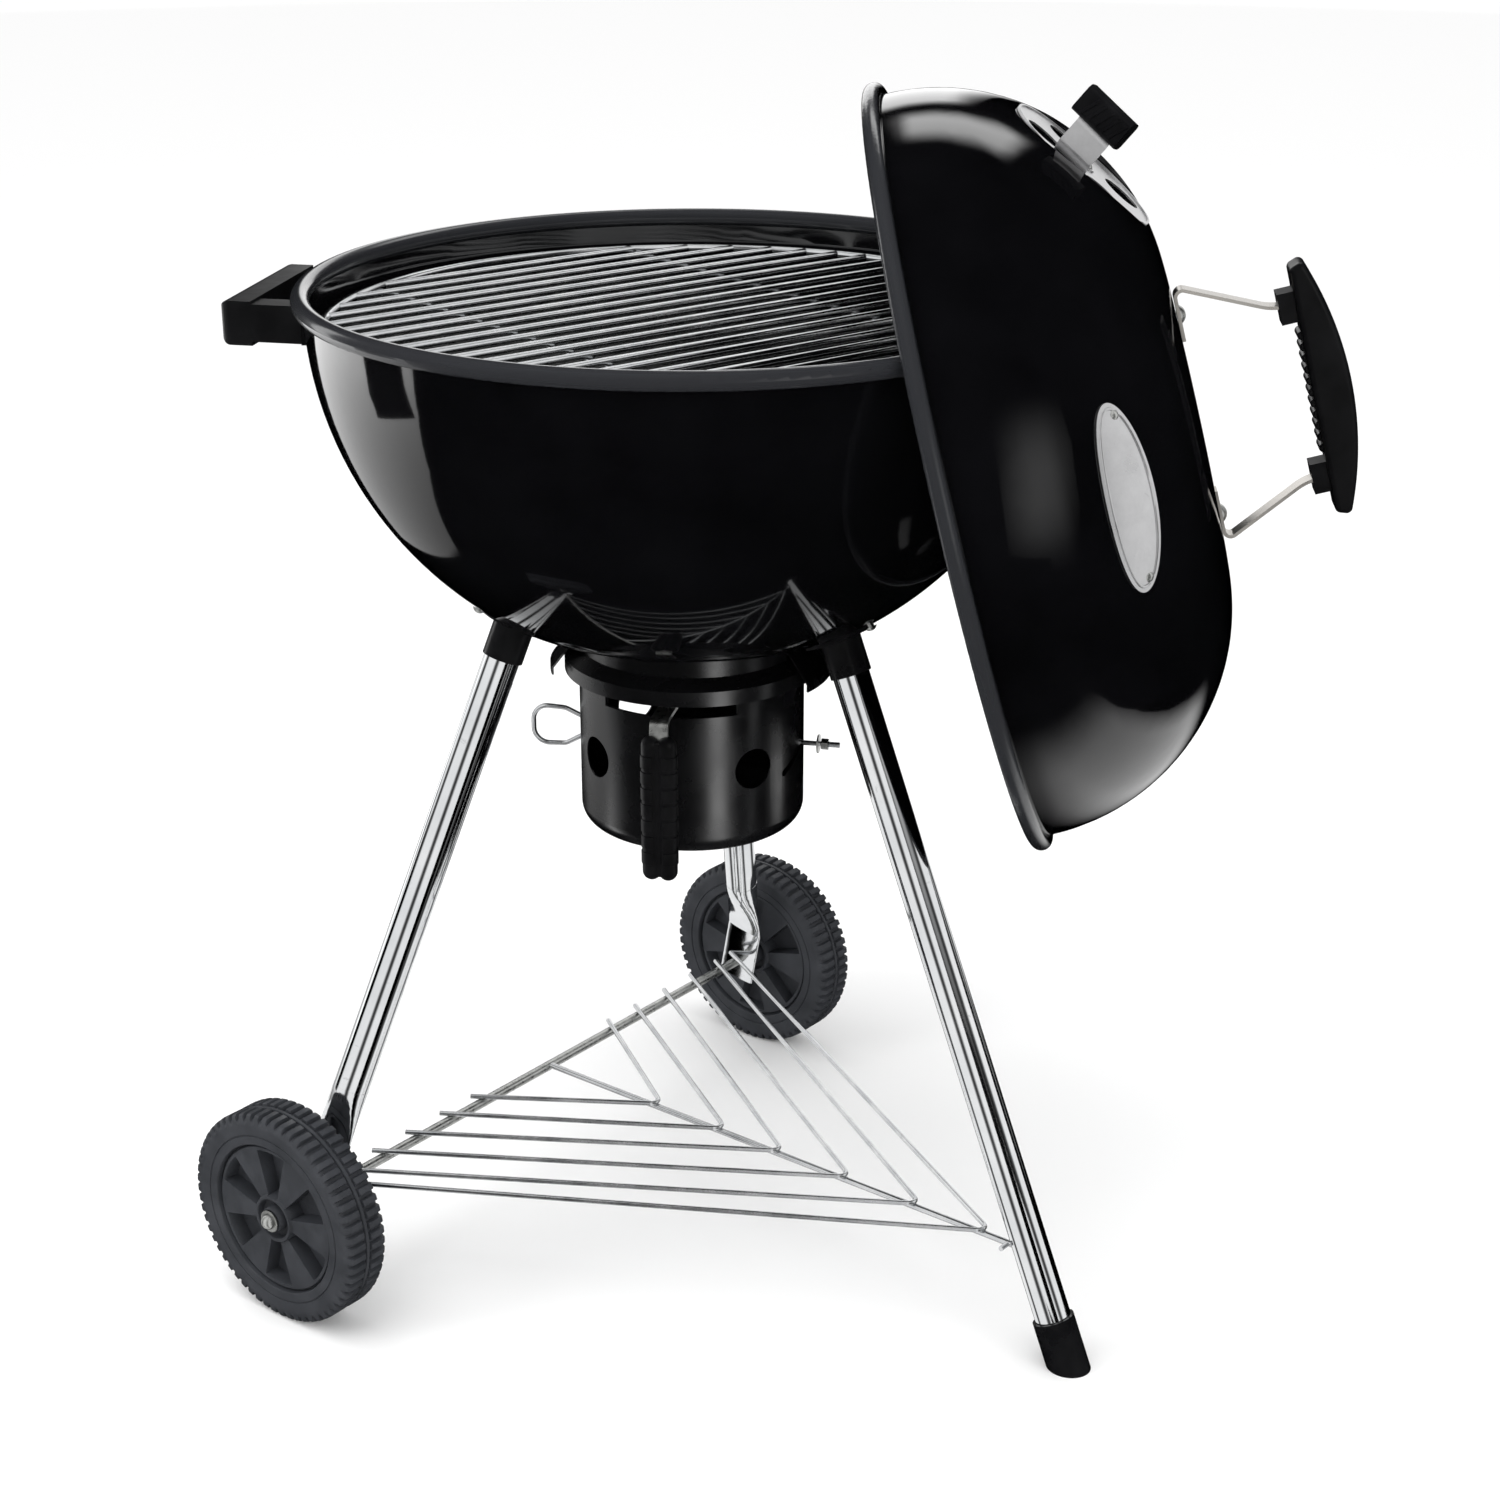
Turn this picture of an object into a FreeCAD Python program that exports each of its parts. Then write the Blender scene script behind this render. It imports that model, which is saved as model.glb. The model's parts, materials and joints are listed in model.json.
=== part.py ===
"""Kettle charcoal grill with its lid hung on the right-hand bowl handle.

Millimetres, +Z up. The origin is on the floor straight below the bowl's axis. +X points to the side
where the lid hangs and -Y is the front. Each node is one part of the grill.
"""
import FreeCAD
import Part

import os
from math import acos, asin, atan2, cos, degrees, pi, radians, sin, sqrt, tan

V = FreeCAD.Vector
UP = V(0, 0, 1)

# ---- driving dimensions ----
SHEET = 1.2                    # enamelled steel of the bowl and the lid
RIM_Z = 787.0                  # top of the bowl
RIM_R = 289.5                  # outside of the bowl's rolled rim
RIM_BEAD = 7.0                 # radius of the rolled rim
BOWL_ARC_R = 275.0             # side of the bowl
BOWL_ARC_OFF = 6.0             # how far that arc's centre is off the axis
BOWL_DEPTH = 260.0
BOWL_KNEE = 54.87              # degrees where the side arc turns into the knuckle

GRATE_Z = 757.0
GRATE_R = 268.0
GRATE_WIRE = 3.0
GRATE_PITCH = 24.0
GRATE_TURN = 49.0              # degrees from +X to the grate's rods
COAL_Z = 612.0
COAL_R = 205.0

LEG_R = 14.0
LEG_WALL = 1.4
CRIMP_LENGTH = 62.0            # run over which a wheel leg is pressed flat
CRIMP_HALF = (18.5, 2.6)       # half width and half thickness of the flat end
CRIMP_STEPS = 8
SLEEVE_R = 15.6
PAD_THICK = 2.2                # socket's pad on the bowl
PAD_SCREW_RHO = 168.0
LEG_TOP_R = 151.8              # leg axis to bowl axis, at the sleeve's lower end
LEG_TOP_Z = 512.7
FOOT_SLOPE = 0.415             # outward run per unit of fall
FOOT_AZ = -26.5
WHEEL_LEG_AZ = (213.5, 93.5)

WHEEL_R = 87.4
WHEEL_IN = 280.5               # inner face of a wheel, from the axle's middle
WHEEL_OUT = 320.5
AXLE_R = 4.0
AXLE_AZ = 63.5
LEG_ON_AXLE = 265.0
AXLE_BACK = 159.3              # bowl axis to the axle's middle, level
BORE_GAP = 0.06

RACK_WIRE = 2.0
RACK_SPINE = 2.6
RACK_HALF_WIDTHS = (83, 120, 160, 198, 235, 258)
RACK_APEX = (126, 194, 253, 320, 387, 452)
RACK_REACH = 489.0             # axle to the middle of the foot leg, level

COLLAR_R = 85.4
CAN_R = 87.0
CAN_WALL = 1.2
CAN_LOW = 362.5
CAN_TOP = 495.5
ROD_Z = 429.0
ROD_R = 2.0
LEVER_Z = 480.0
LEVER_SWING = 28.0

LID_CENTRE = V(196.0, 25.0, 644.7)   # middle of the hung lid's mouth
LID_AZ = 7.35
LID_TILT = 14.69
LID_R = 290.0
LID_BEAD = (5.8, 6.5)                # half width and half height of the lid's rolled rim
LID_SIDE_R = 170.5
LID_SIDE_C = 109.5
LID_HEIGHT = 184.5
LID_CROWN_R = 3000.0

VENT_RHO = 208.5
VENT_AZ = 3.7
VENT_SINK = 12.5
VENT_R = 62.0
VENT_TAB_TURN = 24.0
BADGE_RHO = 237.0
BADGE_AZ = 85.3

STRAP_FOOT_Z = 185.7           # middle of a lid strap's foot, above the lid's mouth

HANDLE_OUT = 340.0             # outer face of a bowl handle
HANDLE_HALF = 68.0
HANDLE_LOW = 738.0
HANDLE_HIGH = 771.0


# ---- helpers ----
def polar(r, az, z=0.0):
    return V(r * cos(radians(az)), r * sin(radians(az)), z)


def rod(p, q, r):
    return Part.makeCylinder(r, (q - p).Length, p, q - p)


def tube(p, q, r_out, r_in):
    return rod(p, q, r_out).cut(rod(p, q, r_in))


def box(low, high):
    size = V(*high) - V(*low)
    return Part.makeBox(size.x, size.y, size.z, V(*low))


def turned(shape, az):
    copy = shape.copy()
    copy.rotate(V(0, 0, 0), UP, az)
    return copy


def fused(shapes):
    out = shapes[0]
    if len(shapes) > 1:
        out = out.fuse(list(shapes[1:]))
    return out.removeSplitter()


def spun(edges, axis=UP):
    """Solid of revolution about Z from edges that close with the axis."""
    face = Part.Face(Part.Wire(edges))
    return face.revolve(V(0, 0, 0), axis, 360)


def line(a, b):
    return Part.makeLine(a, b)


def arc_edge(centre, r, a0, a1):
    """Arc in the XZ plane from angle a0 to a1, in degrees."""
    mid = radians((a0 + a1) / 2)
    ends = [centre + V(r * cos(radians(a)), 0, r * sin(radians(a))) for a in (a0, a1)]
    return Part.Arc(ends[0], centre + V(r * cos(mid), 0, r * sin(mid)), ends[1]).toShape()


def bent_path(points, radii):
    """Wire of straight runs joined by tangent arcs."""
    edges = []
    start = points[0]
    for before, corner, after, r in zip(points, points[1:], points[2:], radii):
        u = (before - corner).normalize()
        w = (after - corner).normalize()
        half = acos(max(-1, min(1, u.dot(w)))) / 2
        reach = r / tan(half)
        a = corner + u * reach
        b = corner + w * reach
        middle = corner + (u + w).normalize() * (r / sin(half) - r)
        edges.append(line(start, a))
        edges.append(Part.Arc(a, middle, b).toShape())
        start = b
    edges.append(line(start, points[-1]))
    return Part.Wire(edges)


def bent_rod(points, radii, r):
    path = bent_path(points, radii)
    ring = Part.Wire(Part.makeCircle(r, points[0], points[1] - points[0]))
    return path.makePipeShell([ring], True, False)


def strap(points, radii, across, width, thick):
    """Flat strip bent along a path; across is the direction of its width."""
    path = bent_path(points, radii)
    ahead = (points[1] - points[0]).normalize()
    side = across.normalize() * (width / 2)
    up = ahead.cross(across).normalize() * (thick / 2)
    corners = [points[0] + side + up, points[0] - side + up]
    corners += [points[0] - side - up, points[0] + side - up]
    ring = Part.makePolygon(corners + corners[:1])
    return path.makePipeShell([ring], True, False)


def hexagon(centre, axis, across_flats, height):
    prism = Part.makePolygon([polar(across_flats / sqrt(3), 60 * k) for k in range(7)])
    solid = Part.Face(prism).extrude(V(0, 0, height))
    solid.Placement = FreeCAD.Placement(centre, FreeCAD.Rotation(UP, axis))
    return solid


def dome_head(centre, axis, r, height):
    """Low round screw or rivet head standing on centre."""
    ball = (r * r + height * height) / (2 * height)
    sphere = Part.makeSphere(ball, V(0, 0, height - ball))
    cap = sphere.common(Part.makeCylinder(r + 1, height + 1))
    cap.Placement = FreeCAD.Placement(centre, FreeCAD.Rotation(UP, axis))
    return cap


def rounded(shape, radius, keep):
    """Fillet the edges for which keep(edge) is true."""
    edges = [e for e in shape.Edges if keep(e)]
    return shape.makeFillet(radius, edges)


# ---- bowl ----
def bowl_profile(offset):
    """Side arc, knuckle and floor of the bowl; offset is measured inward from the outer skin."""
    centre = V(BOWL_ARC_OFF, 0, RIM_Z - 10)
    knee = radians(-BOWL_KNEE)
    turn = centre + V(BOWL_ARC_R * cos(knee), 0, BOWL_ARC_R * sin(knee))
    knuckle_r = (turn.z - (RIM_Z - BOWL_DEPTH)) / (1 + sin(knee))
    middle = turn - V(knuckle_r * cos(knee), 0, knuckle_r * sin(knee))
    side = arc_edge(centre, BOWL_ARC_R - offset, 0, -BOWL_KNEE)
    knuckle = arc_edge(middle, knuckle_r - offset, -BOWL_KNEE, -90)
    return side, knuckle


def bowl_solid(offset, lift=0.0):
    """The bowl's outer shape filled in, up to the rim."""
    side, knuckle = bowl_profile(offset)
    top = side.Vertexes[0].Point
    low = knuckle.Vertexes[-1].Point
    brim = V(top.x, 0, top.z + lift)
    floor = V(0, 0, low.z)
    edges = [side, knuckle, line(low, floor), line(floor, V(0, 0, brim.z))]
    edges.append(line(V(0, 0, brim.z), brim))
    if lift:
        edges.append(line(brim, top))
    return spun(edges)


def floor_z():
    return RIM_Z - BOWL_DEPTH


def sector(r_in, r_out, z_low, z_high, az, half):
    ring = Part.makeCylinder(r_out, z_high - z_low, V(0, 0, z_low), UP, 2 * half)
    ring = ring.cut(Part.makeCylinder(r_in, z_high - z_low, V(0, 0, z_low)))
    return turned(ring, az - half)


AIR_SLOTS = (30, 150, 270)
SHAFT_R = 5.0


def bowl_part():
    wall = bowl_solid(0).cut(bowl_solid(SHEET))
    bead = Part.makeTorus(RIM_R - RIM_BEAD, RIM_BEAD, V(0, 0, RIM_Z - RIM_BEAD))
    wall = wall.fuse(bead)
    cutters = [sector(26, 74, floor_z() - 5, floor_z() + 9, az, 21) for az in AIR_SLOTS]
    cutters.append(rod(V(0, 0, floor_z() - 5), V(0, 0, floor_z() + 9), SHAFT_R + BORE_GAP))
    return wall.cut(cutters)


# ---- grates ----
def round_grate(radius, z, wire, pitch, turn, ring_wire):
    ring = Part.makeTorus(radius, ring_wire, V(0, 0, z))
    rods = []
    count = int((radius - 8) // pitch)
    for k in range(-count, count + 1):
        y = k * pitch
        half = sqrt(radius ** 2 - y ** 2)
        rods.append(rod(V(-half, y, z), V(half, y, z), wire))
    drop = z - wire * 1.7
    for x in (-radius * 0.45, radius * 0.45):
        half = sqrt(radius ** 2 - x ** 2) - 1
        rods.append(rod(V(x, -half, drop), V(x, half, drop), wire))
    return turned(ring.fuse(rods), turn)


def grate_tabs(r_in, z_top, width):
    """Ledges welded inside the bowl under a grate's ring."""
    cavity = bowl_solid(SHEET)
    out = []
    for az in (0, 90, 180, 270):
        ledge = box((r_in, -width / 2, z_top - 2.5), (RIM_R, width / 2, z_top))
        brace = box((r_in + 6, -1.2, z_top - 16), (RIM_R, 1.2, z_top - 2.5))
        out.append(turned(ledge.fuse(brace), az + 20).common(cavity))
    return Part.makeCompound(out)


# ---- sweeper ----
def sweeper_blades():
    z = floor_z() + SHEET + 0.6
    hub = rod(V(0, 0, z), V(0, 0, z + 8), 17)
    blades = [sector(12, 81, z, z + 2, az + 60, 22) for az in AIR_SLOTS]
    ribs = [sector(14, 78, z + 2, z + 6, az + 60, 1.2) for az in AIR_SLOTS]
    body = fused([hub] + blades + ribs)
    return body.cut(rod(V(0, 0, z - 1), V(0, 0, z + 20), SHAFT_R))


def sweeper_shaft():
    top = floor_z() + SHEET + 13
    body = rod(V(0, 0, LEVER_Z - 4), V(0, 0, top), SHAFT_R)
    head = dome_head(V(0, 0, top), UP, SHAFT_R + 2, 4)
    return body.fuse(head)


LEVER_REACH = 112.0


def sweeper_lever():
    z = LEVER_Z + 1.5
    path = [V(0, -14, z), V(0, -LEVER_REACH, z), V(0, -LEVER_REACH, 380)]
    strip = strap(path, [7], V(1, 0, 0), 14, 3)
    boss = rod(V(0, 0, LEVER_Z - 3), V(0, 0, LEVER_Z + 7), 16)
    return boss.fuse(strip).cut(rod(V(0, 0, LEVER_Z - 9), V(0, 0, LEVER_Z + 9), SHAFT_R))


def lever_grip():
    low = 355.0
    high = 470.0
    lobes = []
    for x in (-6.2, 6.2):
        lobe = rod(V(x, -LEVER_REACH - 1, low + 7), V(x, -LEVER_REACH - 1, high - 7), 7.2)
        lobes.append(lobe)
        lobes.append(Part.makeSphere(7.2, V(x, -LEVER_REACH - 1, low + 7)))
        lobes.append(Part.makeSphere(7.2, V(x, -LEVER_REACH - 1, high - 7)))
    core = box((-6.2, -LEVER_REACH - 6.5, low + 4), (6.2, -LEVER_REACH + 4.5, high - 4))
    return fused(lobes + [core]).cut(sweeper_lever())


# ---- collar and ash can ----
def collar_part():
    top = floor_z()
    sleeve = tube(V(0, 0, 470), V(0, 0, top), COLLAR_R, COLLAR_R - 1.4)
    flare = [V(COLLAR_R - 1, 0, 507), V(98, 0, 499.5), V(98, 0, 488), V(96.6, 0, 488), V(96.6, 0, 498.5)]
    flare.append(V(COLLAR_R - 1, 0, 505.4))
    skirt = spun([line(a, b) for a, b in zip(flare, flare[1:] + flare[:1])])
    wing = [V(COLLAR_R - 1, 0, 523), V(109, 0, 493), V(109, 0, 487), V(107.5, 0, 487), V(107.5, 0, 492.6)]
    wing.append(V(COLLAR_R - 1, 0, 520.6))
    cone = spun([line(a, b) for a, b in zip(wing, wing[1:] + wing[:1])])
    ears = [cone.common(sector(COLLAR_R - 2, 120, 480, 530, az, 24)) for az in (0, 180)]
    body = fused([sleeve, skirt] + ears)
    slot = sector(70, 90, LEVER_Z - 5, LEVER_Z + 6, -90, LEVER_SWING + 8)
    return body.cut(slot)


def ash_can():
    knee = 15.0
    outer = [line(V(CAN_R, 0, CAN_TOP), V(CAN_R, 0, CAN_LOW + knee))]
    outer.append(arc_edge(V(CAN_R - knee, 0, CAN_LOW + knee), knee, 0, -90))
    outer.append(line(V(CAN_R - knee, 0, CAN_LOW), V(0, 0, CAN_LOW)))
    outer.append(line(V(0, 0, CAN_LOW), V(0, 0, CAN_TOP)))
    outer.append(line(V(0, 0, CAN_TOP), V(CAN_R, 0, CAN_TOP)))
    inner_r = CAN_R - CAN_WALL
    inner = [line(V(inner_r, 0, CAN_TOP + 1), V(inner_r, 0, CAN_LOW + knee))]
    inner.append(arc_edge(V(CAN_R - knee, 0, CAN_LOW + knee), knee - CAN_WALL, 0, -90))
    inner.append(line(V(CAN_R - knee, 0, CAN_LOW + CAN_WALL), V(0, 0, CAN_LOW + CAN_WALL)))
    inner.append(line(V(0, 0, CAN_LOW + CAN_WALL), V(0, 0, CAN_TOP + 1)))
    inner.append(line(V(0, 0, CAN_TOP + 1), V(inner_r, 0, CAN_TOP + 1)))
    body = spun(outer).cut(spun(inner))
    cutters = [rod(polar(60, az, ROD_Z), polar(110, az, ROD_Z), 16) for az in (45, 135, 225, 315)]
    cutters.append(sector(70, 95, LEVER_Z - 5, CAN_TOP + 5, -90, LEVER_SWING + 8))
    cutters.append(box((-100, -4, ROD_Z - 17), (-70, 4, ROD_Z + 19)))
    return body.cut(cutters + [twist_slot()])


def twist_slot():
    """Slanted slot that the cross rod sits in at the right of the can."""
    run = box((70, -18.5, -3.2), (100, 18.5, 3.2))
    ends = [rod(V(70, y, 0), V(100, y, 0), 3.2) for y in (-18.5, 18.5)]
    slot = fused([run] + ends)
    slot.rotate(V(0, 0, 0), V(1, 0, 0), 19.5)
    slot.translate(V(0, 0, ROD_Z - 6.2))
    return turned(slot, -11.8)


def cross_rod():
    z = ROD_Z
    path = [V(117, 0, z), V(-76, 0, z), V(-102, 0, z - 15), V(-128, 0, z - 16), V(-128, 0, z + 16)]
    path += [V(-102, 0, z + 15), V(-80, 0, z + 5)]
    return bent_rod(path, [8, 12, 12, 12, 12], ROD_R)


def on_cross_rod(x, length, r):
    ring = rod(V(x, 0, ROD_Z), V(x + length, 0, ROD_Z), r)
    return ring.cut(rod(V(x - 5, 0, ROD_Z), V(x + 20, 0, ROD_Z), ROD_R))


def cross_rod_nut():
    nut = hexagon(V(102.5, 0, ROD_Z), V(1, 0, 0), 8, 5.5)
    return nut.cut(rod(V(90, 0, ROD_Z), V(118, 0, ROD_Z), ROD_R))


# ---- legs, wheels and rack ----
def axle_frame():
    along = polar(1, AXLE_AZ)
    middle = polar(AXLE_BACK, AXLE_AZ + 90 + 1.5, WHEEL_R)
    return middle, along


def leg_line(az, slope):
    """Point at the sleeve's lower end and the unit direction down the leg."""
    top = polar(LEG_TOP_R, az, LEG_TOP_Z)
    down = (polar(slope, az) - UP).normalize()
    return top, down


def socket_part(top, down):
    """Sleeve with a pad that follows the bowl, welded to the bowl."""
    skin = bowl_solid(0, 40)
    start = top - down * 60
    sleeve = rod(start, top, SLEEVE_R).cut(skin)
    shell = bowl_solid(-PAD_THICK, 40).cut(skin)
    pad = shell.common(rod(start, top, 27))
    body = sleeve.fuse(pad).removeSplitter()
    return body.cut(rod(start, top + down * 5, LEG_R))


def pad_screw(az):
    """Screw through the sleeve's pad and the bowl, above the sleeve."""
    centre = polar(BOWL_ARC_OFF, az, RIM_Z - 10)
    drop = sqrt(BOWL_ARC_R ** 2 - (PAD_SCREW_RHO - BOWL_ARC_OFF) ** 2)
    spot = polar(PAD_SCREW_RHO, az, centre.z - drop)
    out = (spot - centre).normalize()
    head = dome_head(spot + out * PAD_THICK, out, 4.5, 2.6)
    shank = rod(spot - out * 9, spot + out * PAD_THICK, 2.5)
    return head.fuse(shank)


def foot_leg():
    top, down = leg_line(FOOT_AZ, FOOT_SLOPE)
    start = top - down * 24
    end = top + down * ((LEG_TOP_Z - 9) / -down.z)
    leg = tube(start, end, LEG_R, LEG_R - LEG_WALL)
    return leg.cut(bowl_solid(-3, 40))


def foot_cap():
    top, down = leg_line(FOOT_AZ, FOOT_SLOPE)
    foot = top + down * ((LEG_TOP_Z - 9) / -down.z)
    body = rod(foot - down * 30, foot + down * 30, LEG_R + 2.2)
    body = body.cut(rod(foot - down * 40, foot, LEG_R))
    return body.common(box((0, -400, 0), (600, 100, 60)))


def ellipse_ring(centre, normal, wide_dir, a, b):
    curve = Part.Ellipse(V(0, 0, 0), a, b)
    ring = Part.Wire(curve.toShape())
    across = normal.cross(wide_dir).normalize()
    wide = across.cross(normal).normalize()
    frame = FreeCAD.Rotation(wide, across, normal, "ZXY")
    ring.Placement = FreeCAD.Placement(centre, frame)
    return ring


def wheel_leg(side):
    """Tube leg whose lower end is crimped flat for the axle; side is -1 left, 1 rear."""
    middle, along = axle_frame()
    hub = middle + along * (side * LEG_ON_AXLE)
    top = polar(LEG_TOP_R, WHEEL_LEG_AZ[0 if side < 0 else 1], LEG_TOP_Z)
    tilt = (hub - top).normalize()
    tab = (tilt - along * tilt.dot(along)).normalize()
    knee = hub - tab * 34
    down = (knee - top).normalize()
    crimp = knee - down * CRIMP_LENGTH
    wide = along.cross(tab).normalize()
    rings = []
    for k in range(CRIMP_STEPS + 1):
        t = k / CRIMP_STEPS
        ease = t * t * (3 - 2 * t)
        half_wide = LEG_R + 0.15 + (CRIMP_HALF[0] - LEG_R - 0.15) * ease
        half_thick = LEG_R + 0.1 + (CRIMP_HALF[1] - LEG_R - 0.1) * ease
        facing = (down * (2 - t) + tab * t).normalize()
        rings.append(ellipse_ring(crimp + down * (CRIMP_LENGTH * t), facing, wide, half_wide, half_thick))
    flat = Part.makeLoft(rings, True, False)
    end = ellipse_ring(hub + tab * 17, tab, wide, *CRIMP_HALF)
    lug = Part.makeLoft([rings[-1], end], True, True)
    start = top - down * 24
    body = tube(start, crimp, LEG_R, LEG_R - LEG_WALL).fuse([flat, lug])
    body = body.cut(rod(hub - along * 20, hub + along * 20, AXLE_R + BORE_GAP))
    return body.cut(bowl_solid(-3, 40)), top, down


def axle_part():
    middle, along = axle_frame()
    end = WHEEL_OUT + 5
    return rod(middle - along * end, middle + along * end, AXLE_R)


def along_axle(side, u0, u1, r):
    middle, along = axle_frame()
    p = middle + along * (side * u0)
    q = middle + along * (side * u1)
    return rod(p, q, r).cut(axle_part())


def both_sides(u0, u1, r):
    return Part.makeCompound([along_axle(side, u0, u1, r) for side in (-1, 1)])


def wheel_part(side):
    """Moulded wheel: tread, rim, dished disc with pockets on both faces, hub."""
    width = WHEEL_OUT - WHEEL_IN
    body = Part.makeCylinder(WHEEL_R, width)
    body = rounded(body, 5, lambda e: abs(e.Length - 2 * pi * WHEEL_R) < 1)
    for z, depth in ((0, 9), (width - 9, 9)):
        ring = Part.makeCylinder(60, depth, V(0, 0, z)).cut(Part.makeCylinder(18, depth, V(0, 0, z)))
        spokes = [turned(box((0, -6, z), (70, 6, z + depth)), 60 * k) for k in range(6)]
        body = body.cut(ring.cut(spokes))
    body = body.cut(Part.makeCylinder(AXLE_R + BORE_GAP, width))
    middle, along = axle_frame()
    out = along * side
    body.Placement = FreeCAD.Placement(middle + out * WHEEL_IN, FreeCAD.Rotation(UP, out))
    return body


def end_nuts():
    middle, along = axle_frame()
    out = []
    for side in (-1, 1):
        face = middle + along * (side * (WHEEL_OUT + 1.8))
        nut = dome_head(face, along * side, 6.5, 6)
        out.append(nut.cut(axle_part()))
    return Part.makeCompound(out)


def rack_part():
    """Welded wire rack: a spine to the foot leg and nested V rods that lie on the axle."""
    middle, along = axle_frame()
    out = V(sin(radians(AXLE_AZ)), -cos(radians(AXLE_AZ)), 0)
    level = V(0, 0, AXLE_R + RACK_WIRE)
    spine_z = V(0, 0, AXLE_R - RACK_SPINE + 0.6)
    reach = RACK_REACH
    parts = [rod(middle + out * (AXLE_R + 0.5) + spine_z, middle + out * reach + spine_z, RACK_SPINE)]
    for half, apex in zip(RACK_HALF_WIDTHS, RACK_APEX):
        tip = middle + out * apex + level
        ends = [middle + along * (s * half) + level for s in (-1, 1)]
        over = [(e - tip).normalize() * 9 for e in ends]
        path = [ends[0] + over[0], tip, ends[1] + over[1]]
        parts.append(bent_rod(path, [6], RACK_WIRE))
    stop = middle + out * (reach - 20) + spine_z
    parts.append(rod(stop - along * 11, stop + along * 11, RACK_WIRE))
    return fused(parts)


# ---- bowl handles ----
def bowl_handle(side):
    inner = HANDLE_OUT - 25
    grip = box((inner, -HANDLE_HALF, HANDLE_LOW), (HANDLE_OUT, HANDLE_HALF, HANDLE_HIGH))
    grip = rounded(grip, 8, lambda e: abs(e.CenterOfMass.x - HANDLE_OUT) < 0.1)
    arms = []
    for y0 in (-HANDLE_HALF, HANDLE_HALF - 21):
        arms.append(box((262, y0, HANDLE_LOW + 3), (inner + 1, y0 + 21, HANDLE_HIGH - 2)))
    body = fused([grip] + arms).cut(rim_keepout(284.5))
    body = turned(body, 0 if side > 0 else 180)
    return body.cut(bracket_part(side)).cut(handle_screws(side))


def rim_keepout(r):
    return Part.makeCylinder(r, 60, V(0, 0, HANDLE_LOW - 5))


def bracket_part(side):
    """Steel plate on the bowl's wall with two tongues for the handle's arms."""
    plate = sector(276, 284.2, HANDLE_LOW + 4, HANDLE_HIGH - 2, 0, 15.5).cut(bowl_solid(0, 40))
    tongues = []
    for y in (-HANDLE_HALF + 10.5, HANDLE_HALF - 10.5):
        tongues.append(box((268, y - 6, 748), (308, y + 6, 762)).cut(bowl_solid(0, 40)))
    bead = Part.makeTorus(RIM_R - RIM_BEAD, RIM_BEAD, V(0, 0, RIM_Z - RIM_BEAD))
    return turned(fused([plate] + tongues).cut(bead), 0 if side > 0 else 180)


def handle_screws(side):
    out = []
    for y in (-HANDLE_HALF + 10.5, HANDLE_HALF - 10.5):
        low = HANDLE_LOW + 3
        shank = rod(V(298, y, low), V(298, y, 755), 2.2)
        screw = shank.fuse(dome_head(V(298, y, low), V(0, 0, -1), 4.5, 2.4))
        out.append(turned(screw, 0 if side > 0 else 180))
    return Part.makeCompound(out)


# ---- lid, modelled about its own axis and then hung ----
def lid_frame():
    turn = FreeCAD.Rotation(UP, LID_AZ)
    lean = FreeCAD.Rotation(V(0, 1, 0), 90 - LID_TILT)
    upright = turn.multiply(lean)
    return FreeCAD.Placement(LID_CENTRE, upright)


def hung(shape):
    copy = shape.copy()
    copy.Placement = lid_frame().multiply(copy.Placement)
    return copy


def dome_solid(offset):
    """The dome's outer shape filled in; offset is measured inward."""
    crown = V(0, 0, LID_HEIGHT - LID_CROWN_R)
    side = V(LID_SIDE_C, 0, 12)
    reach = side - crown
    start = degrees(atan2(reach.z, reach.x))
    crown_r = LID_CROWN_R - offset
    side_r = LID_SIDE_R - offset
    join = side + V(side_r * cos(radians(start)), 0, side_r * sin(radians(start)))
    top_z = sqrt(max(crown_r ** 2 - join.x ** 2, 0))
    shift = join.z - top_z
    roof = Part.Arc(V(0, 0, shift + crown_r), V(crown_r * sin(asin(join.x / crown_r) / 2), 0,
                    shift + crown_r * cos(asin(join.x / crown_r) / 2)), join).toShape()
    flank = arc_edge(side, side_r, start, 0)
    foot = V(LID_SIDE_C + side_r, 0, 12)
    edges = [roof, flank, line(foot, V(foot.x, 0, 0)), line(V(foot.x, 0, 0), V(0, 0, 0))]
    edges.append(line(V(0, 0, 0), V(0, 0, shift + crown_r)))
    return spun(edges)


def dome_point(rho, az):
    """Point on the dome's outer skin and the outward normal, in the lid's own frame."""
    rise = sqrt(LID_SIDE_R ** 2 - (rho - LID_SIDE_C) ** 2)
    normal = V((rho - LID_SIDE_C) / LID_SIDE_R, 0, rise / LID_SIDE_R)
    point = V(rho, 0, 12 + rise)
    turn = FreeCAD.Rotation(UP, 180 + az)
    return turn.multVec(point), turn.multVec(normal)


def vent_frame(depth):
    point, normal = dome_point(VENT_RHO, VENT_AZ)
    return point - normal * depth, normal


def vent_directions():
    """Unit vectors on the vent's seat: towards the grip tab and square to it."""
    base, normal = vent_frame(0)
    outward = V(base.x, base.y, 0).normalize()
    downhill = (outward - normal * outward.dot(normal)).normalize()
    side = normal.cross(downhill)
    a = radians(VENT_TAB_TURN)
    tab = side * cos(a) + downhill * sin(a)
    return tab, normal.cross(tab)


def vent_holes(depth0, depth1):
    tab, across = vent_directions()
    out = []
    for k in range(4):
        a = radians(45 + 90 * k)
        off = (tab * cos(a) + across * sin(a)) * 40
        out.append(rod(vent_frame(depth0)[0] + off, vent_frame(depth1)[0] + off, 15.5))
    return out


VENT_PIN_R = 3.0
VENT_NECK = 29.0


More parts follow.
